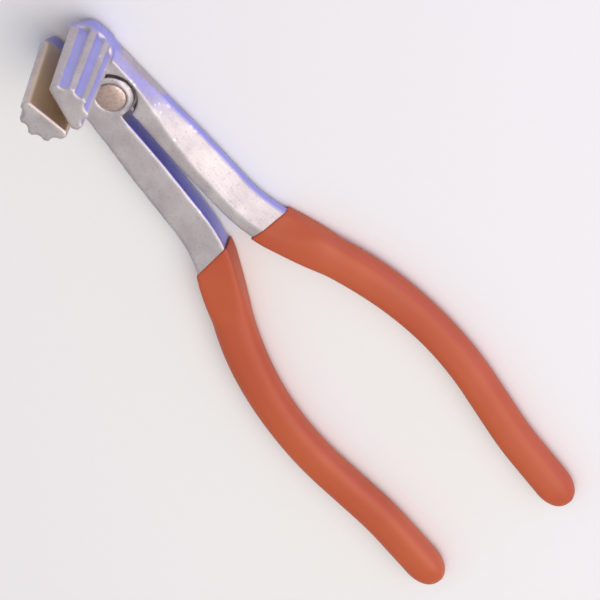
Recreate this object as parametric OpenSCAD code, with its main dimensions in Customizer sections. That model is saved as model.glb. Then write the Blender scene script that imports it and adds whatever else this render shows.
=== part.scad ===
// Spreading pliers with two fluted half-round prongs that stand square off the handle plane.
// Squeezing the handles drives the prongs apart. The arms lap at one rivet and do not cross.
// +X runs from the rivet to the handle tips, +Y is the right-hand half, +Z is up the prongs.
// The origin is the centre of the rivet's lower end, on the surface that the tool lies on.

/* [Prongs] */
// Height of a prong above the top of its arm
prong_h = 29; // [20:1:36]
// Radius over the ribs at the tip of a prong
prong_r = 7.8; // [7:0.1:8.6]
// Depth of a prong from its flat to its outermost rib, at the tip
prong_depth = 7.9; // [6.5:0.1:8.2]
// How much larger a prong is at its root than at its tip
prong_taper = 1.09; // [1.0:0.01:1.12]
// Size of the cut along both long edges of a flat
corner_cut = 1.3; // [0.5:0.1:2.2]
// Number of flutes in one prong
flutes = 4; // [3:1:5]
// Depth of a flute
flute_depth = 1; // [0.5:0.05:1.5]
// Distance from the rivet axis to the nearest edge of the flats
prong_start = 7.2; // [7.1:0.1:8]
// Distance from the middle plane to that edge, with the tool at rest
prong_gap = 0.45; // [0.4:0.05:0.8]
// Angle of each flat to the middle plane, with the tool at rest
flat_deg = 11.5; // [11:0.5:14]

/* [Arms] */
// Thickness of an arm
arm_t = 6.3; // [5:0.1:7.5]
// Half width of an arm at the rivet
arm_w_rivet = 4.3; // [3.8:0.1:4.5]
// Half width of an arm at its widest, ahead of the grip
arm_w = 5.2; // [4.6:0.1:5.3]
// Height of the outer wall below the bevelled face
bevel_wall = 3; // [2:0.1:4]
// Width of the bevelled face at the grip
bevel_w = 6.6; // [4:0.1:7]
// Width of the bevelled face beside the rivet
bevel_w_rivet = 1.7; // [1:0.1:3]

/* [Joint] */
// Radius of the round lug on each half
lug_r = 6.2; // [5.5:0.1:6.4]
// Gap between a lug and the shoulder around it
lug_gap = 1; // [0.6:0.1:1.2]
// Radius of the rivet's shank
rivet_r = 2.6; // [2:0.1:3]
// Radius of the rivet's heads
rivet_head_r = 4.1; // [3.6:0.1:4.5]

/* [Grips] */
// Half width of a grip where the hand closes on it
grip_w = 5.5; // [5.3:0.1:6.5]
// Thickness of a grip
grip_t = 7.6; // [7.4:0.1:9]
// Where the dipped coating starts, from the rivet axis
dip_x = 55; // [50:0.5:60]

/* [Hidden] */
$fn = 64;

// Heights: the arms clear the surface by the coating's thickness, and the lugs split the arm
arm_z = (grip_t - arm_t) / 2;
arm_top = arm_z + arm_t;
split_z = arm_z + arm_t / 2;
face_gap = 0.05;
shank_fit = 0.05;
press_fit = 0.02;
bond_gap = 0.04;
head_fit = 0.2;
head_sunk = 0.7;
head_proud = 0.45;
recess_over = 0.3;

// Handle centre line: a start, a heading, and bends as [distance along it, length, angle]
path_start = [-16, 4.9];
path_heading = 2.4;
bends = [[58, 17, 22], [92.5, 52, -32.4], [157.5, 10, 6.5]];
path_len = 186.5;
ring_step = 3;
grip_from = 62;
end_round = 7;

function bend_part(s, b) = b[2] * min(max((s - b[0]) / b[1], 0), 1);
function heading(s) = path_heading + bend_part(s, bends[0]) + bend_part(s, bends[1]) + bend_part(s, bends[2]);
function dir(a) = [cos(a), sin(a)];
// Points of the centre line, one every ring_step, as [x, y, distance, heading]
path = [
    for (i = 0, p = path_start; i * ring_step <= path_len;
         p = p + ring_step * dir(heading((i + 0.5) * ring_step)), i = i + 1)
    [p[0], p[1], i * ring_step, heading(i * ring_step)]
];

function ramp(s, from, to) = min(max((s - from) / (to - from), 0), 1);
function smooth(t) = t * t * (3 - 2 * t);
function blend(a, b, t) = a + (b - a) * t;

// Bare arm: a bar whose outer upper edge is cut to a wide bevelled face. y runs outward.
function arm_half(s) = blend(arm_w_rivet, arm_w, smooth(ramp(s, 14, 44)));
function bevel_at(s) = blend(bevel_w_rivet, bevel_w, smooth(ramp(s, 12, 46)));
// Inside the grip the bar narrows to a plain tang
function tang_at(s) = smooth(ramp(s, 74, 84));
function arm_ring(s) =
    let (t = tang_at(s), w = arm_half(s), k = 1 - 0.28 * t, h = arm_t / 2)
    let (hz = h * (1 - 0.3 * t), wall = blend(bevel_wall - h, hz * 0.6, t))
    let (bw = blend(bevel_at(s), 1, t))
    [[-w * k, -hz], [w * k, -hz], [w * k, wall], [w * k - bw, hz], [-w * k, hz]];

// Grip: it wraps the square bar at its mouth, then eases into a rounded oblong with a round end
mouth_flare = 0.3;
function eased(s) = smooth(ramp(s, 72, 92));
function grip_half(s) = blend(grip_w + mouth_flare, grip_w, eased(s)) - 0.6 * smooth(ramp(s, 95, 130));
function end_scale(s) = let (t = ramp(s, path_len - end_round, path_len + 0.4)) sqrt(1 - t * t);
function oblong(a, w, h, p) =
    let (c = cos(a), d = sin(a))
    [w * sign(c) * pow(abs(c), p), h * sign(d) * pow(abs(d), p)];
grip_sides = 24;
function grip_ring(s) =
    let (p = blend(0.4, 0.62, eased(s)))
    [for (i = [0 : grip_sides - 1])
        oblong(360 * i / grip_sides, grip_half(s) * end_scale(s), grip_t / 2 * end_scale(s), p)];

// A skin through rings of points: each ring stands square across the centre line
module loft(stations, rings) {
    n = len(rings[0]);
    last = len(rings) - 1;
    points = [
        for (i = [0 : last]) for (q = rings[i])
        [stations[i][0] - q[0] * sin(stations[i][3]),
         stations[i][1] + q[0] * cos(stations[i][3]),
         grip_t / 2 + q[1]]
    ];
    sides = [
        for (i = [0 : last - 1]) for (j = [0 : n - 1])
        let (a = i * n + j, b = i * n + (j + 1) % n)
        each [[a, a + n, b], [b, a + n, b + n]]
    ];
    first_cap = [[for (j = [0 : n - 1]) j]];
    last_cap = [[for (j = [0 : n - 1]) last * n + n - 1 - j]];
    polyhedron(points, concat(sides, first_cap, last_cap), convexity = 6);
}

module steel_bar(swell = 0, until = path_len - 4) {
    stations = [for (p = path) if (p[2] <= until) p];
    loft(stations, [for (p = stations) [for (q = arm_ring(p[2])) q + swell * [sign(q[0]), sign(q[1])]]]);
}

// Outline of a prong across its length, in its own frame: flat on y = 0, ribs outward
flute_pitch = 36;
// A flute is a shallow cup: the angle of each point of its section, and how much of the depth it has
flute_cup = [[-12, 0], [-9.5, 0.6], [-5, 1], [5, 1], [9.5, 0.6], [12, 0]];
function prong_edge(r) = [
    for (k = [0 : flutes - 1], q = flute_cup)
    let (a = 90 + (k - (flutes - 1) / 2) * flute_pitch + q[0])
    (r - flute_depth * q[1]) * dir(a)
];
module prong_outline() {
    centre = prong_depth - prong_r;
    flat_half = prong_r - corner_cut;
    arc_from = asin((corner_cut - centre) / prong_r);
    start = [[flat_half, -centre], prong_r * dir(arc_from)];
    finish = [prong_r * dir(180 - arc_from), [-flat_half, -centre]];
    translate([0, centre])
        polygon(concat(start, prong_edge(prong_r), finish));
}

// Where a flat lies: its near edge, and the middle of its chord
half_chord = sqrt(prong_r * prong_r - (prong_r - prong_depth) * (prong_r - prong_depth));
near_edge = [-prong_start, prong_gap];
chord_mid = near_edge + half_chord * prong_taper * dir(180 - flat_deg);

module on_flat() {
    translate([chord_mid[0], chord_mid[1], 0])
        rotate([0, 0, -flat_deg])
            children();
}

module prong() {
    translate([0, 0, arm_top + prong_h])
        on_flat()
            mirror([0, 0, 1])
                linear_extrude(height = prong_h + 1, scale = prong_taper)
                    prong_outline();
}

// Foot of the prong: a smooth round-nosed plate a little behind the flat, just short of the arm's top
foot_margin = 0.1;
foot_back = 0.3;
foot_sunk = 0.15;
front_cut = 20;
module foot() {
    foot_r = prong_r * prong_taper + foot_margin;
    translate([0, 0, arm_z])
        on_flat()
            intersection() {
                translate([0, prong_depth - prong_r, 0])
                    cylinder(r = foot_r, h = arm_t - foot_sunk);
                translate([-foot_r, foot_back, 0])
                    cube([2 * foot_r, foot_r, arm_t]);
            }
}

// One forged half before its lap is cut, prong and all, as the right-hand one lies
module half_blank() {
    difference() {
        union() {
            steel_bar();
            foot();
            translate([0, 0, arm_z])
                cylinder(r = lug_r, h = arm_t);
        }
        // The front of the bar stays a little behind the flat
        on_flat()
            translate([-front_cut, -front_cut, -1])
                cube([front_cut + half_chord * prong_taper, front_cut + foot_back, grip_t + 2]);
    }
}

// Turns the right-hand bar over to make the left-hand one: its bevelled face is underneath
module turned_over() {
    translate([0, 0, grip_t])
        mirror([0, 0, 1])
            mirror([0, 1, 0])
                children();
}

// Space around the rivet axis that the other half's lug turns in
module lap_recess(z, h) {
    translate([0, 0, z])
        cylinder(r = lug_r + lug_gap, h = h);
}

// Lower lug: the rivet is pressed into it
module right_half() {
    color("silver")
        difference() {
            union() {
                half_blank();
                prong();
            }
            lap_recess(split_z, arm_t / 2 + recess_over);
            translate([0, 0, -1])
                cylinder(r = rivet_r + press_fit, h = grip_t);
        }
}

// Upper lug: it turns on the rivet and is sunk for the rivet's head
module left_half() {
    color("darkgray")
        difference() {
            union() {
                turned_over()
                    half_blank();
                mirror([0, 1, 0])
                    prong();
            }
            lap_recess(-1, split_z + face_gap + 1);
            translate([0, 0, -1])
                cylinder(r = rivet_r + shank_fit, h = grip_t + 2);
            translate([0, 0, arm_top - head_sunk])
                cylinder(r = rivet_head_r + head_fit, h = head_sunk + 1);
        }
}

// Rivet: a flat tail under the lower lug, a shank, and a low domed head sunk in the upper lug
module pivot_rivet() {
    head_z = arm_top - head_sunk + face_gap;
    color("tan")
        rotate_extrude()
            polygon([
                [0, 0], [rivet_head_r - 0.3, 0], [rivet_head_r, 0.3], [rivet_head_r, arm_z - face_gap],
                [rivet_r, arm_z - face_gap], [rivet_r, head_z], [rivet_head_r, head_z],
                [rivet_head_r, arm_top - 0.1], [rivet_head_r * 0.86, arm_top + 0.2],
                [rivet_head_r * 0.55, arm_top + head_proud * 0.85], [0, arm_top + head_proud]
            ]);
}

// Dipped coating: a rounded skin over the tang, closed at its end and cut level at its mouth
module grip_skin() {
    stations = [for (p = path) if (p[2] >= grip_from) p];
    difference() {
        loft(stations, [for (p = stations) grip_ring(p[2])]);
        translate([dip_x - 40, -40, -1])
            cube([40, 80, grip_t + 2]);
    }
}

module right_grip() {
    color("orangered")
        difference() {
            grip_skin();
            steel_bar(bond_gap);
        }
}

module left_grip() {
    color("orangered")
        difference() {
            mirror([0, 1, 0])
                grip_skin();
            turned_over()
                steel_bar(bond_gap);
        }
}

right_half();
left_half();
pivot_rivet();
right_grip();
left_grip();
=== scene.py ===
"""Looks for a pair of spreading pliers: two forged steel halves, one rivet and two dipped vinyl grips.

Everything is in metres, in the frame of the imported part: +X runs from the rivet to the handle tips,
+Y is the right-hand half and +Z is up the prongs.
"""
import math

import bmesh
import bpy
from bpy.props import FloatProperty, FloatVectorProperty, IntProperty, PointerProperty
from mathutils import Matrix, Vector, noise


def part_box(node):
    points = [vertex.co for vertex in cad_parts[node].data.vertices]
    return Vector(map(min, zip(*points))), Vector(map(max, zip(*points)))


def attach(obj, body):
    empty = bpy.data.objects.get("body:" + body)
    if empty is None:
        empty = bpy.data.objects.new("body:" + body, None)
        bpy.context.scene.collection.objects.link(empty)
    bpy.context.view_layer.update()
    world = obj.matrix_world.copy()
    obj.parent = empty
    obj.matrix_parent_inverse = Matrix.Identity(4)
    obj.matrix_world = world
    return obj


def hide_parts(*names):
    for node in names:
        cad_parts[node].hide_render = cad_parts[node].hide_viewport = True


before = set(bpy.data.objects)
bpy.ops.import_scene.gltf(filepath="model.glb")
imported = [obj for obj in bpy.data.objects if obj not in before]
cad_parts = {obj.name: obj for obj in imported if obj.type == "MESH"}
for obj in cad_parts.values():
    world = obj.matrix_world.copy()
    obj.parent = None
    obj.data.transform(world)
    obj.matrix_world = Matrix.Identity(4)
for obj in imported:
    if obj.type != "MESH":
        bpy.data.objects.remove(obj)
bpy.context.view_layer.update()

bl_info = {
    "name": "Spreading Pliers",
    "version": (1, 0, 0),
    "blender": (4, 5, 0),
    "location": "3D View > Sidebar > Pliers",
    "description": "Builds forged halves, a rivet and dipped grips around a packed pair of pliers",
    "category": "Object",
}

MM = 0.001
SIDES = (("right", "right_side", 1), ("left", "left_side", -1))
# Tangent of the angle between a prong's flat and the middle plane, with the tool at rest
FLAT_SLOPE = math.tan(math.radians(11.5))
# Middle of the right-hand prong's ribs, seen from above, and how fast their radius falls with height
PRONG_AXIS = (-15.5 * MM, 2.15 * MM, 0.0)
RIB_TAPER = 0.0234


# ---------------------------------------------------------------- colours and nodes


def linear(hex_colour):
    """Linear red, green and blue of an sRGB hex colour."""
    parts = [int(hex_colour[i:i + 2], 16) / 255 for i in (1, 3, 5)]
    return tuple(c / 12.92 if c <= 0.04045 else ((c + 0.055) / 1.055) ** 2.4 for c in parts)


def rgba(colour):
    """A linear colour as the four numbers that a socket takes."""
    return (*colour, 1.0)


def add_node(tree, kind, settings=None, links=None):
    """Adds a shader node, sets its properties and unlinked inputs, and feeds its inputs from outputs."""
    made = tree.nodes.new("ShaderNode" + kind)
    for name, value in (settings or {}).items():
        if isinstance(name, str) and hasattr(made, name):
            setattr(made, name, value)
        else:
            made.inputs[name].default_value = value
    for name, output in (links or {}).items():
        tree.links.new(output, made.inputs[name])
    return made


MIX_FACTOR, MIX_A, MIX_B, MIX_RESULT = 0, 6, 7, 2


def mix_colours(tree, factor, a, b):
    """Output of a colour mix. a and b are colours or outputs."""
    settings = {"data_type": "RGBA"}
    links = {MIX_FACTOR: factor}
    for place, value in ((MIX_A, a), (MIX_B, b)):
        if isinstance(value, tuple):
            settings[place] = rgba(value)
        else:
            links[place] = value
    return add_node(tree, "Mix", settings, links).outputs[MIX_RESULT]


def grown(tree, value, low, high, to_low=0.0, to_high=1.0):
    """Output that runs from to_low to to_high as value runs from low to high."""
    spans = {"From Min": low, "From Max": high, "To Min": to_low, "To Max": to_high}
    return add_node(tree, "MapRange", spans, {"Value": value}).outputs[0]


def both(tree, a, b):
    """Output of two masks multiplied."""
    return add_node(tree, "Math", {"operation": "MULTIPLY"}, {0: a, 1: b}).outputs[0]


def mottle(tree, coords, size, detail=2.0):
    """Noise whose patches are size across: one length, or three where it is drawn out."""
    sizes = size if isinstance(size, tuple) else (size, size, size)
    scaled = add_node(tree, "Mapping", {"Scale": tuple(1 / s for s in sizes)}, {"Vector": coords})
    made = add_node(tree, "TexNoise", {"Scale": 1.0, "Detail": detail}, {"Vector": scaled.outputs[0]})
    return made.outputs["Fac"]


def new_material(name):
    """An empty material: its tree, its object coordinates and its principled shader."""
    made = bpy.data.materials.new(name)
    made.use_nodes = True
    tree = made.node_tree
    tree.nodes.clear()
    coords = add_node(tree, "TexCoord").outputs["Object"]
    shader = add_node(tree, "BsdfPrincipled")
    add_node(tree, "OutputMaterial", links={"Surface": shader.outputs[0]})
    return made, tree, coords, shader


# ---------------------------------------------------------------- materials


def steel_masks(tree, coords):
    """Masks of the low side walls, of the prongs' flats and of the flutes' floors."""
    place = add_node(tree, "SeparateXYZ", links={0: coords}).outputs
    normal = add_node(tree, "NewGeometry").outputs["Normal"]
    facing = add_node(tree, "SeparateXYZ", links={0: normal})
    level = add_node(tree, "Math", {"operation": "ABSOLUTE"}, {0: facing.outputs["Z"]})
    upright = grown(tree, level.outputs[0], 0.6, 0.2)

    # The lap is left out of the side walls
    low_wall = both(tree, upright, grown(tree, place["Z"], 8 * MM, 6.5 * MM))
    from_rivet = add_node(tree, "Math", {"operation": "ABSOLUTE"}, {0: place["X"]})
    flank = both(tree, low_wall, grown(tree, from_rivet.outputs[0], 7.5 * MM, 9.5 * MM))

    # The flats open at FLAT_SLOPE to the middle plane, so they lie where |y| + x * FLAT_SLOPE is least
    across = add_node(tree, "Math", {"operation": "ABSOLUTE"}, {0: place["Y"]})
    over = add_node(
        tree, "Math", {"operation": "MULTIPLY_ADD", 1: FLAT_SLOPE}, {0: place["X"], 2: across.outputs[0]}
    ).outputs[0]
    flat = both(tree, grown(tree, over, -0.3 * MM, -0.7 * MM), grown(tree, place["Z"], 4 * MM, 6 * MM))

    # A flute's floor lies nearer to the prong's axis than the ribs do
    spoke = add_node(tree, "CombineXYZ", links={"X": place["X"], "Y": across.outputs[0]})
    offset = add_node(tree, "VectorMath", {"operation": "DISTANCE", 1: PRONG_AXIS}, {0: spoke.outputs[0]})
    radius = add_node(
        tree, "Math", {"operation": "MULTIPLY_ADD", 1: RIB_TAPER},
        {0: place["Z"], 2: offset.outputs["Value"]},
    ).outputs[0]
    flute = both(tree, grown(tree, radius, 8.4 * MM, 8.0 * MM), upright)
    flute = both(tree, flute, grown(tree, over, 1.4 * MM, 2.2 * MM))
    flute = both(tree, flute, grown(tree, place["Z"], 7 * MM, 8 * MM))
    return flank, flat, flute


def satin_forged_steel(settings):
    """Drop-forged carbon steel, belt ground on its faces and tumbled to a satin.

    It gives a soft, broad highlight with fine grain along the arm and edges worn brighter. The low side
    walls and the flutes get a painted blue shade, for the cool light that they catch in the shade of the
    other arm. The flats get a painted warm brown shade. The hollow creases get a painted dark shade, and the
    pits their dirt.
    """
    made, tree, coords, shader = new_material("satin_forged_steel")
    grain = mottle(tree, coords, (settings.grain_length, settings.grain_pitch, settings.grain_pitch), 3.0)
    cloud = mottle(tree, coords, settings.cloud_size)
    pits = mottle(tree, coords, settings.pit_size, 3.0)
    point = add_node(tree, "NewGeometry").outputs["Pointiness"]
    flank, flat, flute = steel_masks(tree, coords)

    tone = tuple(settings.colour)
    # Each layer: its mask, and the colour that it brings in
    layers = (
        (grown(tree, cloud, 0.35, 0.65), settings.shade),
        (grown(tree, pits, 0.56, 0.72, 0.0, 0.35), settings.film),
        # Painted blue shade on the low side walls
        (grown(tree, flank, 0.0, 1.0, 0.0, 0.65), settings.painted_blue_shade),
        # Painted warm brown shade on the prongs' flats
        (grown(tree, flat, 0.0, 1.0, 0.0, 0.85), settings.painted_brown_shade),
        # Painted blue shade in the flutes
        (grown(tree, flute, 0.0, 1.0, 0.0, 0.6), settings.painted_blue_shade),
        # Painted dark shade in the hollow creases, where pointiness is low
        (grown(tree, point, 0.49, 0.44, 0.0, 0.5), settings.film),
        (grown(tree, point, 0.52, 0.60, 0.0, 0.7), settings.edge),
    )
    for mask, colour in layers:
        tone = mix_colours(tree, mask, tone, tuple(colour))
    tree.links.new(tone, shader.inputs["Base Color"])

    rough = grown(tree, grain, 0.3, 0.7, settings.roughness - 0.06, settings.roughness + 0.07)
    tree.links.new(rough, shader.inputs["Roughness"])
    shader.inputs["Metallic"].default_value = 1.0

    height = add_node(tree, "Math", {"operation": "MULTIPLY_ADD", 1: 0.5}, {0: grain, 2: pits})
    bump = add_node(tree, "Bump", {"Strength": 0.5, "Distance": 0.03 * MM}, {"Height": height.outputs[0]})
    tree.links.new(bump.outputs[0], shader.inputs["Normal"])
    return made


def peened_rivet_steel(settings):
    """Mild steel wire, headed cold, with its tan colour painted in as warm shade and reflection.

    It gives a small dull dome, browner than the forgings, with a hammered unevenness.
    """
    made, tree, coords, shader = new_material("peened_rivet_steel")
    dents = mottle(tree, coords, settings.dent_size, 1.0)
    film = mottle(tree, coords, settings.dent_size * 0.4, 3.0)
    point = add_node(tree, "NewGeometry").outputs["Pointiness"]
    # The tan of both colours is painted warm shade and reflection; the patches between them are random
    tone = mix_colours(tree, grown(tree, film, 0.35, 0.7), tuple(settings.colour), tuple(settings.film))
    tone = mix_colours(tree, grown(tree, point, 0.51, 0.56, 0.0, 0.6), tone, tuple(settings.edge))
    tree.links.new(tone, shader.inputs["Base Color"])
    tree.links.new(grown(tree, film, 0.3, 0.7, 0.38, 0.5), shader.inputs["Roughness"])
    shader.inputs["Metallic"].default_value = 1.0
    bump = add_node(tree, "Bump", {"Strength": 0.6, "Distance": 0.08 * MM}, {"Height": dents})
    tree.links.new(bump.outputs[0], shader.inputs["Normal"])
    return made


def dipped_vinyl(settings):
    """Plastisol vinyl, dipped and oven cured.

    It gives a solid orange with a soft gloss: long shallow sags from dripping, a fine orange peel, and a
    slightly deeper colour where handling has polished it.
    """
    made, tree, coords, shader = new_material("dipped_vinyl")
    sag_width = settings.sag_length * 0.4
    sag = mottle(tree, coords, (settings.sag_length, sag_width, sag_width), 1.0)
    peel = mottle(tree, coords, settings.peel_size, 1.0)
    handled = mottle(tree, coords, settings.sag_length * 2, 3.0)
    tone = mix_colours(tree, grown(tree, handled, 0.35, 0.65), tuple(settings.colour), tuple(settings.shade))
    tree.links.new(tone, shader.inputs["Base Color"])
    rough = grown(tree, handled, 0.3, 0.7, settings.roughness - 0.05, settings.roughness + 0.06)
    tree.links.new(rough, shader.inputs["Roughness"])
    shader.inputs["IOR"].default_value = 1.52
    height = add_node(tree, "Math", {"operation": "MULTIPLY_ADD", 1: 0.12}, {0: peel, 2: sag})
    bump = add_node(tree, "Bump", {"Strength": 0.35, "Distance": 0.25 * MM}, {"Height": height.outputs[0]})
    tree.links.new(bump.outputs[0], shader.inputs["Normal"])
    return made


def matt_card(settings):
    """White card sweep: matt, with a faint tooth that keeps its shadow soft."""
    made, tree, coords, shader = new_material("matt_card")
    tooth = mottle(tree, coords, 3 * MM)
    hollows = tuple(c * 0.985 for c in settings.floor_colour)
    tone = mix_colours(tree, tooth, tuple(settings.floor_colour), hollows)
    tree.links.new(tone, shader.inputs["Base Color"])
    shader.inputs["Roughness"].default_value = 0.95
    shader.inputs["Specular IOR Level"].default_value = 0.1
    return made


# ---------------------------------------------------------------- meshes


def finished(name, shape, material, smooth=True):
    """A new object at the origin whose mesh is shape, with one material."""
    mesh = bpy.data.meshes.new(name)
    shape.to_mesh(mesh)
    shape.free()
    if material:
        mesh.materials.append(material)
    for face in mesh.polygons:
        face.use_smooth = smooth
    made = bpy.data.objects.new(name, mesh)
    bpy.context.scene.collection.objects.link(made)
    return made


def merged_copy(node):
    """The shape of a CAD node, with its loose triangles joined up."""
    shape = bmesh.new()
    shape.from_mesh(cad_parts[node].data)
    bmesh.ops.remove_doubles(shape, verts=shape.verts, dist=0.002 * MM)
    return shape


def remeshed(shape, voxel):
    """shape as an even skin of small quads."""
    worked = finished("worked", shape, None)
    remesh = worked.modifiers.new("skin", "REMESH")
    remesh.mode = "VOXEL"
    remesh.voxel_size = voxel
    graph = bpy.context.evaluated_depsgraph_get()
    skin = bmesh.new()
    skin.from_object(worked, graph)
    old = worked.data
    bpy.data.objects.remove(worked)
    bpy.data.meshes.remove(old)
    return skin


def softened(verts, shape, passes):
    """Rounds the edges and fills the sharp corners that verts lie on, by passes of smoothing."""
    for _ in range(passes):
        bmesh.ops.smooth_vert(
            shape, verts=verts, factor=0.5, use_axis_x=True, use_axis_y=True, use_axis_z=True
        )


class HandleLine:
    """Centre line of the right-hand handle, seen from above: a start, a heading and three bends."""

    start = Vector((-16.0, 4.9)) * MM
    heading = math.radians(2.4)
    # Each bend: where it starts along the line, how long it is, and how far it turns
    bends = ((58.0, 17.0, 22.0), (92.5, 52.0, -32.4), (157.5, 10.0, 6.5))
    length = 186.5 * MM
    step = 0.5 * MM

    def __init__(self, side):
        self.side = side

    def angle(self, distance):
        """Heading at a distance along the line."""
        turned = self.heading
        for start, span, degrees in self.bends:
            part = (distance / MM - start) / span
            turned += math.radians(degrees) * min(max(part, 0.0), 1.0)
        return turned

    def point(self, distance):
        """Place on the line, in the plane of the handles."""
        count = max(1, round(distance / self.step))
        step = distance / count
        place = self.start.copy()
        for i in range(count):
            turned = self.angle((i + 0.5) * step)
            place += step * Vector((math.cos(turned), math.sin(turned)))
        return place

    def station(self, distance, height):
        """Matrix of a section: its x runs outward, its y up and its z along the handle."""
        place = self.point(distance)
        turned = self.angle(distance)
        along = Vector((math.cos(turned), math.sin(turned) * self.side, 0.0))
        outward = Vector((-math.sin(turned), math.cos(turned) * self.side, 0.0))
        up = Vector((0.0, 0.0, 1.0))
        centre = Vector((place.x, place.y * self.side, height))
        return Matrix.Translation(centre) @ Matrix((outward, up, along)).transposed().to_4x4()


def ramp(value, low, high):
    """0 below low, 1 above high, and an eased run between them."""
    part = min(max((value - low) / (high - low), 0.0), 1.0)
    return part * part * (3.0 - 2.0 * part)


def reach(direction, walls, hardness):
    """How far a section reaches in a direction.

    walls are (normal, distance) pairs, and hardness squares the corners between them.
    """
    total = 0.0
    for normal, distance in walls:
        total += max(0.0, direction.dot(normal) / distance) ** hardness
    return total ** (-1.0 / hardness)


# ---------------------------------------------------------------- settings


class PliersSteelSettings(bpy.types.PropertyGroup):
    """The two forged halves."""

    voxel: FloatProperty(
        name="Skin size", description="Size of the quads of the forgings' skin",
        default=0.30 * MM, min=0.2 * MM, max=1.0 * MM, precision=5, unit="LENGTH",
    )
    softness: IntProperty(
        name="Edge softness", description="Passes of smoothing that round the forged edges",
        default=6, min=1, max=20,
    )
    arm_softness: IntProperty(
        name="Arm softness", description="Further passes that round the tumbled arms",
        default=12, min=0, max=30,
    )
    waviness: FloatProperty(
        name="Waviness", description="Height of the hand-ground unevenness of the arms",
        default=0.05 * MM, min=0.0, max=0.2 * MM, precision=5, unit="LENGTH",
    )
    wave_size: FloatProperty(
        name="Wave size", description="Length of one ground hollow",
        default=9 * MM, min=3 * MM, max=30 * MM, unit="LENGTH",
    )
    grain_pitch: FloatProperty(
        name="Grain pitch", description="Width of a grinding line, drawn coarse enough to show",
        default=0.28 * MM, precision=5, unit="LENGTH",
    )
    grain_length: FloatProperty(
        name="Grain length", description="Length of a grinding line", default=6 * MM, unit="LENGTH",
    )
    cloud_size: FloatProperty(
        name="Cloud size", description="Size of the patches of tone", default=7 * MM, unit="LENGTH",
    )
    pit_size: FloatProperty(
        name="Pit size", description="Size of the tumbled pits",
        default=0.7 * MM, precision=5, unit="LENGTH",
    )
    roughness: FloatProperty(
        name="Roughness", description="How far the satin spreads a highlight",
        default=0.48, min=0.1, max=0.9, subtype="FACTOR",
    )
    colour: FloatVectorProperty(
        name="Colour", description="Clean ground steel", subtype="COLOR", size=3, default=linear("#D0C9CA"),
    )
    shade: FloatVectorProperty(
        name="Shade", description="Duller patches of the same steel", subtype="COLOR", size=3,
        default=linear("#C0B8BB"),
    )
    # Besides the dirt in the pits, this colour is painted dark shade in the hollow creases
    film: FloatVectorProperty(
        name="Film", description="Oil and dirt in the roots and pits", subtype="COLOR", size=3,
        default=linear("#8C8285"),
    )
    # Painted blue shade: the blue that the low side walls and the flutes show in the shade of the other arm,
    # put into their colour
    painted_blue_shade: FloatVectorProperty(
        name="Blued", description="Heat-blued skin left on the unground walls and flutes", subtype="COLOR",
        size=3, default=linear("#9EA2FA"),
    )
    # Painted warm shade: the brown that the shaded flats of the prongs show, put into their colour
    painted_brown_shade: FloatVectorProperty(
        name="Oiled", description="Brown oil film on the flats of the prongs", subtype="COLOR",
        size=3, default=linear("#DCC8AE"),
    )
    edge: FloatVectorProperty(
        name="Worn edge", description="Steel polished by wear", subtype="COLOR", size=3,
        default=linear("#F1ECEB"),
    )


class PliersRivetSettings(bpy.types.PropertyGroup):
    """The pivot rivet."""

    steps: IntProperty(
        name="Steps", description="Divisions round the rivet", default=72, min=24, max=180,
    )
    dent_size: FloatProperty(
        name="Dent size", description="Size of the hammer marks", default=1.6 * MM, unit="LENGTH",
    )
    # Painted warm shade and reflection: the rivet's tan
    colour: FloatVectorProperty(
        name="Colour", description="Oiled rivet steel", subtype="COLOR", size=3, default=linear("#D3BDB2"),
    )
    # Painted warm shade too: a darker tan, laid in random patches
    film: FloatVectorProperty(
        name="Film", description="Darker oil film", subtype="COLOR", size=3, default=linear("#BBA296"),
    )
    edge: FloatVectorProperty(
        name="Worn edge", description="Rim polished by wear", subtype="COLOR", size=3,
        default=linear("#E6DAD2"),
    )


class PliersGripSettings(bpy.types.PropertyGroup):
    """The two dipped coatings."""

    coat: FloatProperty(
        name="Coat", description="Thickness of the vinyl at its mouth",
        default=0.45 * MM, min=0.2 * MM, max=1.5 * MM, precision=5, unit="LENGTH",
    )
    facets: IntProperty(
        name="Sides", description="Divisions round a grip", default=64, min=24, max=128,
    )
    ring_step: FloatProperty(
        name="Ring step", description="Distance between the rings of a grip",
        default=1.2 * MM, min=0.5 * MM, max=4 * MM, precision=5, unit="LENGTH",
    )
    sag_length: FloatProperty(
        name="Sag length", description="Length of a drip sag", default=16 * MM, unit="LENGTH",
    )
    peel_size: FloatProperty(
        name="Peel size", description="Size of the orange peel",
        default=0.9 * MM, precision=5, unit="LENGTH",
    )
    roughness: FloatProperty(
        name="Roughness", description="How soft the gloss is",
        default=0.46, min=0.1, max=0.9, subtype="FACTOR",
    )
    colour: FloatVectorProperty(
        name="Colour", description="Orange vinyl", subtype="COLOR", size=3, default=linear("#C45A30"),
    )
    shade: FloatVectorProperty(
        name="Shade", description="Handled, deeper orange", subtype="COLOR", size=3,
        default=linear("#BA4F29"),
    )


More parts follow.
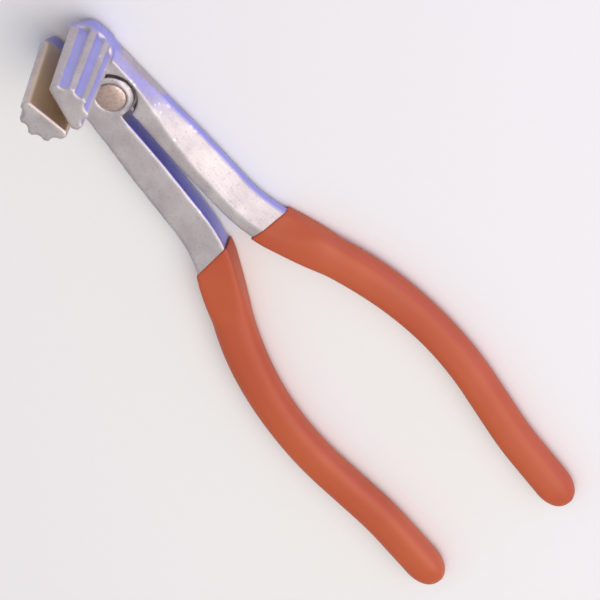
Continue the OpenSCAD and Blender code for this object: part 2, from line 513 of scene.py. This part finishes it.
class PliersStudioSettings(bpy.types.PropertyGroup):
    """Floor, lights and camera."""

    floor_size: FloatProperty(
        name="Floor size", description="Side of the card that the pliers lie on", default=3.0, unit="LENGTH",
    )
    floor_colour: FloatVectorProperty(
        name="Floor", description="White card", subtype="COLOR", size=3, default=linear("#F4F4F4"),
    )
    azimuth: FloatProperty(
        name="Azimuth", description="Direction of the camera round the rivet's axis",
        default=math.radians(123.8), subtype="ANGLE",
    )
    elevation: FloatProperty(
        name="Elevation", description="Height of the camera above the plane of the handles",
        default=math.radians(55.9), subtype="ANGLE",
    )
    roll: FloatProperty(
        name="Roll", description="Turn of the camera about its own line of sight",
        default=math.radians(-160.0), subtype="ANGLE",
    )
    field: FloatProperty(
        name="Field", description="Width of what the camera takes in", default=159.7 * MM, unit="LENGTH",
    )
    aim: FloatVectorProperty(
        name="Aim", description="Point at the middle of the view", size=3, subtype="TRANSLATION",
        default=(75.6 * MM, 5.2 * MM, 10.7 * MM),
    )


# ---------------------------------------------------------------- operators


class PLIERS_OT_forged_halves(bpy.types.Operator):
    """Build both steel halves as soft-edged forgings"""

    bl_idname = "pliers.forged_halves"
    bl_label = "Forged halves"

    lug_radius = 6.2 * MM
    lug_middle = 3.8 * MM
    # Middle of the right-hand prong's foot, seen from above, and the height at which the foot ends
    foot_middle = (-15.5, 2.2)
    foot_top = 7.0 * MM

    def execute(self, context):
        settings = context.scene.pliers_steel
        steel = satin_forged_steel(settings)
        for name, body, side in SIDES:
            shape = remeshed(merged_copy(name + "_half"), settings.voxel)
            softened(shape.verts, shape, settings.softness)
            arms = [v for v in shape.verts if v.co.x > 9 * MM]
            softened(arms, shape, settings.arm_softness)
            self.dress_lug(shape, side)
            self.draft_foot(shape, side)
            self.grind(shape, settings)
            piece = finished(name + "_forging", shape, steel)
            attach(piece, body)
            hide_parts(name + "_half")
        return {"FINISHED"}

    def dress_lug(self, shape, side):
        """Dresses the rim of a lug down, away from its arm, as a file leaves it.

        The halves are one forging turned over, so the rim is on top of the left and under the right.
        """
        inner, drop, below = 4.5 * MM, 0.9 * MM, 1.5 * MM
        away = Vector((0.55, -side * 0.84))
        for vert in shape.verts:
            flat = Vector(vert.co.xy)
            if flat.length > self.lug_radius + 0.5 * MM or (vert.co.z - self.lug_middle) * side > -below:
                continue
            turned = ramp(flat.normalized().dot(away), 0.4, 0.8)
            vert.co.z += side * drop * turned * ramp(flat.length, inner, self.lug_radius + 0.4 * MM)

    def draft_foot(self, shape, side):
        """Draws the nose of a prong's foot in towards its lower edge, most of all at its far corner."""
        x, y = self.foot_middle
        centre = Vector((x, side * y)) * MM
        ahead = Vector((-0.90, side * 0.43))
        corner = Vector((-0.98, side * 0.20))
        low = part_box("left_half")[0].z
        nose, extra = 1.3 * MM, 1.6 * MM
        inner, outer = 3 * MM, 7 * MM
        for vert in shape.verts:
            off = Vector(vert.co.xy) - centre
            if vert.co.z > self.foot_top or off.length < inner or vert.co.x > centre.x + 6 * MM:
                continue
            way = off.normalized()
            lean = nose * ramp(way.dot(ahead), -0.2, 0.5) + extra * ramp(way.dot(corner), 0.7, 1.0)
            lean *= (1 - (vert.co.z - low) / (self.foot_top - low)) ** 1.4 * ramp(off.length, inner, outer)
            vert.co.xy -= way * lean

    def grind(self, shape, settings):
        """Gives the arms and prongs the slight waves of hand grinding, and leaves the lap true."""
        lap = 9 * MM
        shape.normal_update()
        moves = []
        for vert in shape.verts:
            away = ramp(Vector(vert.co.xy).length, lap, 2 * lap)
            height = noise.noise(vert.co / settings.wave_size) * settings.waviness * away
            moves.append(vert.normal * (height - settings.waviness * away * 0.5))
        for vert, move in zip(shape.verts, moves):
            vert.co += move


class PLIERS_OT_pivot_rivet(bpy.types.Operator):
    """Turn the headed rivet"""

    bl_idname = "pliers.pivot_rivet"
    bl_label = "Pivot rivet"

    def execute(self, context):
        settings = context.scene.pliers_rivet
        low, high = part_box("pivot_rivet")
        head = (high.x - low.x) / 2
        shank = 2.6 * MM
        tail_top = 0.6 * MM
        sunk = 1.1 * MM
        dome = 0.6 * MM
        near_head = head - 0.02 * MM
        dome_rings = 8
        shape = bmesh.new()
        # Half section from the tail's middle, out and up to the crown of the head
        section = [
            (0.0, low.z), (head - 0.5 * MM, low.z), (head - 0.1 * MM, low.z + 0.2 * MM),
            (near_head, tail_top), (shank, tail_top), (shank, high.z - sunk),
            (near_head, high.z - sunk), (head, high.z - dome),
        ]
        for i in range(1, dome_rings):
            turned = math.pi / 2 * i / dome_rings
            section.append((head * math.cos(turned) ** 0.8, high.z - dome + dome * math.sin(turned)))
        section.append((0.0, high.z))
        verts = [shape.verts.new((x, 0.0, z)) for x, z in section]
        edges = [shape.edges.new(pair) for pair in zip(verts, verts[1:])]
        bmesh.ops.spin(
            shape, geom=verts + edges, cent=(0, 0, 0), axis=(0, 0, 1), angle=2 * math.pi,
            steps=settings.steps, use_merge=True,
        )
        bmesh.ops.remove_doubles(shape, verts=shape.verts, dist=0.005 * MM)
        bmesh.ops.recalc_face_normals(shape, faces=shape.faces)
        piece = finished("rivet_turned", shape, peened_rivet_steel(settings))
        edge = piece.modifiers.new("rounded_edges", "BEVEL")
        edge.width = 0.12 * MM
        edge.segments = 3
        edge.limit_method = "ANGLE"
        edge.angle_limit = math.radians(35)
        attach(piece, "right_side")
        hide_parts("pivot_rivet")
        return {"FINISHED"}


class PLIERS_OT_dipped_grips(bpy.types.Operator):
    """Draw both grips along their handles and hollow them for the tangs"""

    bl_idname = "pliers.dipped_grips"
    bl_label = "Dipped grips"

    arm_half = 5.2 * MM
    arm_thick = 6.3 * MM
    # The bar's bevelled face: its tilt, and how far under the middle its lower edge is
    bevel_tilt = math.radians(26)
    bevel_drop = 0.15 * MM
    # Half width of a grip where the hand closes on it, and how much slimmer it is behind
    hand_half = 5.5 * MM
    slimmer = 0.6 * MM
    # Places along the handle: the mouth, where the bar's form has gone, and the slimming's start and end
    mouth = 71.2 * MM
    settled = 92 * MM
    slim_from, slim_to = 95 * MM, 130 * MM
    end_round = 7.5 * MM
    # How square the section's corners are at the mouth and behind it
    mouth_hardness, hand_hardness = 14.0, 2.9
    # How far the dip line leans off the tool's cross direction, as a slope, on each side
    dip_lean = {"right": 0.0, "left": 0.25}

    def execute(self, context):
        settings = context.scene.pliers_grip
        vinyl = dipped_vinyl(settings)
        for name, body, side in SIDES:
            skin = finished(name + "_grip_dipped", self.skin(name, side, settings), vinyl)
            self.hollow(skin, name)
            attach(skin, body)
            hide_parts(name + "_grip")
        return {"FINISHED"}

    def section(self, distance, low, high, settings, side):
        """Walls and hardness of the grip's section: the bar's own form at the mouth, an oblong behind it."""
        part = ramp(distance, self.mouth, self.settled)
        thick = (high.z - low.z) / 2
        wide = self.hand_half - self.slimmer * ramp(distance, self.slim_from, self.slim_to)
        half = (self.arm_half + settings.coat) * (1 - part) + wide * part
        tall = (self.arm_thick / 2 + settings.coat) * (1 - part) + thick * part
        # The bevelled face is on top of the right-hand bar and underneath the left-hand one
        bevel = Vector((math.sin(self.bevel_tilt), side * math.cos(self.bevel_tilt)))
        corner = Vector((self.arm_half, -side * self.bevel_drop))
        lean = (abs(corner.dot(bevel)) + settings.coat) * (1 - part) + tall * 1.45 * part
        walls = [
            (Vector((1, 0)), half), (Vector((-1, 0)), half), (Vector((0, 1)), tall), (Vector((0, -1)), tall),
            (bevel, lean),
        ]
        return walls, self.mouth_hardness * (1 - part) + self.hand_hardness * part

    def skin(self, name, side, settings):
        """The outer skin: one ring pushed out along the handle, closed at both ends."""
        low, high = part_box(name + "_grip")
        line = HandleLine(side)
        middle = (low.z + high.z) / 2
        shape = bmesh.new()
        ring = bmesh.ops.create_circle(shape, segments=settings.facets, radius=1.0, cap_ends=False)["verts"]
        turns = [Vector(v.co.xy).normalized() for v in ring]
        edges = list(shape.edges)
        shape.faces.new(ring)
        for i, (distance, scale) in enumerate(self.stops(line, settings)):
            if i:
                ring, edges = self.next_ring(shape, ring, edges)
            walls, hardness = self.section(distance, low, high, settings, side)
            place = line.station(distance, middle)
            slope = math.tan(line.angle(distance)) + self.dip_lean[name]
            slope *= 1 - ramp(distance, self.mouth, self.settled)
            for vert, turn in zip(ring, turns):
                flat = turn * reach(turn, walls, hardness) * scale
                vert.co = place @ Vector((flat.x, flat.y, flat.x * slope))
        shape.faces.new(ring)
        bmesh.ops.recalc_face_normals(shape, faces=shape.faces)
        return shape

    def next_ring(self, shape, ring, edges):
        """Draws a new ring out of the last one. Returns its verts, in the same order, and its edges."""
        made = bmesh.ops.extrude_edge_only(shape, edges=edges)["geom"]
        fresh = {g for g in made if isinstance(g, bmesh.types.BMVert)}
        edges = [g for g in made if isinstance(g, bmesh.types.BMEdge)]
        verts = []
        for old in ring:
            verts += [e.other_vert(old) for e in old.link_edges if e.other_vert(old) in fresh]
        return verts, edges

    def stops(self, line, settings):
        """(distance, scale) of each ring, with a rolled lip at the mouth and a round end."""
        lip, lip_rings, end_rings = 0.35 * MM, 4, 14
        face = self.mouth - 0.1 * MM
        stops = [(face, 0.72), (face, 0.90)]
        for i in range(1, lip_rings + 1):
            turned = math.pi / 2 * i / lip_rings
            stops.append((self.mouth + lip * (1 - math.cos(turned)), 0.93 + 0.07 * math.sin(turned)))
        first, last = self.mouth + lip, line.length - self.end_round
        count = round((last - first) / settings.ring_step)
        for i in range(1, count + 1):
            stops.append((first + (last - first) * i / count, 1.0))
        for i in range(1, end_rings + 1):
            turned = math.pi / 2 * i / end_rings
            stops.append((last + self.end_round * math.sin(turned), max(math.cos(turned) ** 0.86, 0.02)))
        return stops

    def hollow(self, skin, name):
        """Cuts the tang's own shape out of a grip, so that the coating is a true sleeve."""
        tang = finished("tang", merged_copy(name + "_half"), None)
        cut = skin.modifiers.new("tang", "BOOLEAN")
        cut.operation = "DIFFERENCE"
        cut.solver = "EXACT"
        cut.object = tang
        graph = bpy.context.evaluated_depsgraph_get()
        sleeve = bpy.data.meshes.new_from_object(skin.evaluated_get(graph))
        skin.modifiers.clear()
        skin.data = sleeve
        bpy.data.objects.remove(tang)


class PLIERS_OT_studio(bpy.types.Operator):
    """Set out the card floor, the lights and the camera"""

    bl_idname = "pliers.studio"
    bl_label = "Studio"

    # Each lamp: its name, its direction from the tool, its distance, its size, its power and its colour
    lamps = (
        ("key_softbox", (0.30, 0.36, 0.88), 0.85, (1.0, 1.0), 5.2, "#FFF8F0"),
        ("cool_strip", (0.10, 0.98, 0.16), 0.7, (0.7, 0.12), 1.5, "#6A6CFF"),
    )
    room_colour, room_strength = "#F0EFF2", 0.60
    camera_distance = 0.8

    def execute(self, context):
        settings = context.scene.pliers_studio
        self.floor(settings)
        for lamp in self.lamps:
            self.lamp(Vector(settings.aim), *lamp)
        self.sky(context)
        self.camera(context, settings)
        return {"FINISHED"}

    def floor(self, settings):
        """A square card under the tool, at the height that it rests on."""
        shape = bmesh.new()
        bmesh.ops.create_grid(shape, x_segments=1, y_segments=1, size=settings.floor_size / 2)
        card = finished("card_floor", shape, matt_card(settings), smooth=False)

    def lamp(self, aim, name, direction, distance, size, power, colour):
        """A rectangular soft light that faces the tool."""
        data = bpy.data.lights.new(name, "AREA")
        data.shape = "RECTANGLE"
        data.size, data.size_y = size
        data.energy = power
        data.color = linear(colour)
        made = bpy.data.objects.new(name, data)
        towards = Vector(direction).normalized()
        turn = towards.to_track_quat("Z", "Y").to_matrix().to_4x4()
        made.matrix_world = Matrix.Translation(aim + towards * distance) @ turn
        bpy.context.scene.collection.objects.link(made)

    def sky(self, context):
        """Even, nearly neutral room light, shown as it is without a film curve."""
        world = bpy.data.worlds.new("room")
        world.use_nodes = True
        light = world.node_tree.nodes["Background"]
        light.inputs["Color"].default_value = rgba(linear(self.room_colour))
        light.inputs["Strength"].default_value = self.room_strength
        context.scene.world = world
        context.scene.view_settings.view_transform = "Standard"

    def camera(self, context, settings):
        """A long lens, so far off that the view has no perspective."""
        data = bpy.data.cameras.new("camera")
        data.type = "ORTHO"
        data.ortho_scale = settings.field
        made = bpy.data.objects.new("camera", data)
        level = math.cos(settings.elevation)
        back = Vector((
            level * math.cos(settings.azimuth),
            level * math.sin(settings.azimuth),
            math.sin(settings.elevation),
        ))
        turn = back.to_track_quat("Z", "Y").to_matrix().to_4x4()
        place = Matrix.Translation(Vector(settings.aim) + back * self.camera_distance)
        made.matrix_world = place @ turn @ Matrix.Rotation(settings.roll, 4, "Z")
        context.scene.collection.objects.link(made)
        context.scene.camera = made


class PLIERS_PT_build(bpy.types.Panel):
    """Sizes, finishes and the steps of the build"""

    bl_idname = "PLIERS_PT_build"
    bl_label = "Spreading pliers"
    bl_space_type = "VIEW_3D"
    bl_region_type = "UI"
    bl_category = "Pliers"

    def draw(self, context):
        for step, group in STEPS:
            box = self.layout.box()
            box.operator(step.bl_idname)
            settings = getattr(context.scene, group)
            for name in settings.__annotations__:
                box.prop(settings, name)


GROUPS = {
    "pliers_steel": PliersSteelSettings,
    "pliers_rivet": PliersRivetSettings,
    "pliers_grip": PliersGripSettings,
    "pliers_studio": PliersStudioSettings,
}
STEPS = (
    (PLIERS_OT_forged_halves, "pliers_steel"),
    (PLIERS_OT_pivot_rivet, "pliers_rivet"),
    (PLIERS_OT_dipped_grips, "pliers_grip"),
    (PLIERS_OT_studio, "pliers_studio"),
)


def register():
    """Adds the settings, the operators and the panel to Blender."""
    for name, group in GROUPS.items():
        bpy.utils.register_class(group)
        setattr(bpy.types.Scene, name, PointerProperty(type=group))
    for step, _ in STEPS:
        bpy.utils.register_class(step)
    bpy.utils.register_class(PLIERS_PT_build)


def unregister():
    """Takes them out again."""
    bpy.utils.unregister_class(PLIERS_PT_build)
    for step, _ in reversed(STEPS):
        bpy.utils.unregister_class(step)
    for name, group in GROUPS.items():
        delattr(bpy.types.Scene, name)
        bpy.utils.unregister_class(group)


def main():
    """Runs each step in order."""
    register()
    bpy.ops.pliers.forged_halves()
    bpy.ops.pliers.pivot_rivet()
    bpy.ops.pliers.dipped_grips()
    bpy.ops.pliers.studio()


if __name__ == "__main__":
    main()
